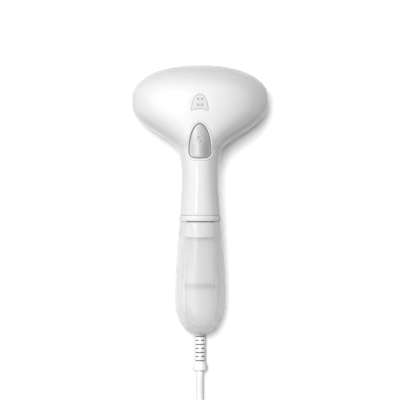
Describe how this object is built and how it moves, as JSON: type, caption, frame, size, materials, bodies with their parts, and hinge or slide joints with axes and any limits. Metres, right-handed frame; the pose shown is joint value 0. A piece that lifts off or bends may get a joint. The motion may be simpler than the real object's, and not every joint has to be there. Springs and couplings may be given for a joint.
{
  "type": "garment steamer",
  "caption": "Handheld garment steamer: wide pebble head, waisted handle, frosted slide-off water tank, arched steam button, slotted strain relief and mains cord.",
  "frame": {"origin": "on the flat face of the steam plate, below the widest line of the head, where the steamer rests on its face", "axes": "+Y along the body from the cord end to the top of the head, +Z out of the back of the head, away from the steam plate, +X across the head"},
  "size_m": [0.185, 0.4721, 0.0779],
  "materials": {
    "housing_white": "high gloss",
    "spine_white": "satin",
    "tank_frost": "frosted",
    "button_silver": "satin metallic",
    "window_grey": "smoked translucent",
    "lamp": "clear lens",
    "bezel_grey": "heat resistant",
    "steel_plate": "brushed",
    "cast_alloy": "as cast",
    "element_steel": "dull",
    "silicone_grey": "matt",
    "screw_steel": "zinc plated",
    "fuse_tan": "matt",
    "board_green": "resist",
    "part_black": "moulded",
    "part_red": "moulded",
    "inner_white": "moulded",
    "coil_copper": "enamelled winding",
    "lead_black": "matt",
    "cap_grey": "moulded",
    "cord_white": "satin",
    "pin_metal": "nickel plated"
  },
  "bodies": {
    "root": {"back_cover": "housing_white", "front_shell": "housing_white", "plate_bezel": "bezel_grey", "plate_gasket": "silicone_grey", "steam_plate": "steel_plate", "boiler_base": "cast_alloy", "boiler_lid": "cast_alloy", "heating_element": "element_steel", "boiler_screws": "screw_steel", "thermostat": "cast_alloy", "thermal_fuse": "fuse_tan", "heat_shield": "bezel_grey", "control_board": "board_green", "board_parts": "part_black", "micro_switch": "part_black", "button_springs": "element_steel", "button_bezel": "housing_white", "indicator_window": "window_grey", "indicator_leds": "lamp", "handle_collar": "housing_white", "tank_dock": "inner_white", "dock_seal": "silicone_grey", "lower_spine": "spine_white", "pump_body": "inner_white", "pump_coil": "coil_copper", "suction_tube": "inner_white", "water_tube": "inner_white", "mains_leads": "lead_black", "heater_leads": "part_red", "inner_cord": "cord_white", "cord_clamp": "inner_white", "case_screws": "screw_steel", "strain_relief": "cord_white", "cord_run": "cord_white", "cord_coil": "cord_white", "cord_lead": "cord_white", "cord_tie": "cord_white", "plug_body": "cord_white", "plug_pins": "pin_metal"},
    "tank": {"tank_shell": "tank_frost", "tank_closure": "spine_white"},
    "cap": {"tank_cap": "cap_grey", "tank_valve": "silicone_grey"},
    "button": {"steam_button": "button_silver"},
    "plunger": {"switch_plunger": "part_red"},
    "piston": {"pump_piston": "element_steel"}
  },
  "joints": [
    {"name": "tank_slide", "type": "slide", "parent": "root", "child": "tank", "axis": [0, -1, 0], "range_m": [0, 0.066]},
    {"name": "cap_turn", "type": "hinge", "parent": "tank", "child": "cap", "pos_m": [0, -0.125, 0.043], "axis": [0, 1, 0], "range_deg": [0, 90]},
    {"name": "button_press", "type": "slide", "parent": "root", "child": "button", "axis": [0, 0, -1], "range_m": [0, 0.0016], "stiffness_N_per_m": 700, "springref_m": -0.001, "deforming": ["button_springs"]},
    {"name": "plunger_press", "type": "slide", "parent": "root", "child": "plunger", "axis": [0, 0, -1], "range_m": [0, 0.0016]},
    {"name": "pump_stroke", "type": "slide", "parent": "root", "child": "piston", "axis": [0, 1, 0], "range_m": [-0.0015, 0.0015], "stiffness_N_per_m": 800}
  ],
  "couplings": [
    {"joint": "plunger_press", "follows": "button_press", "ratio": 1}
  ]
}
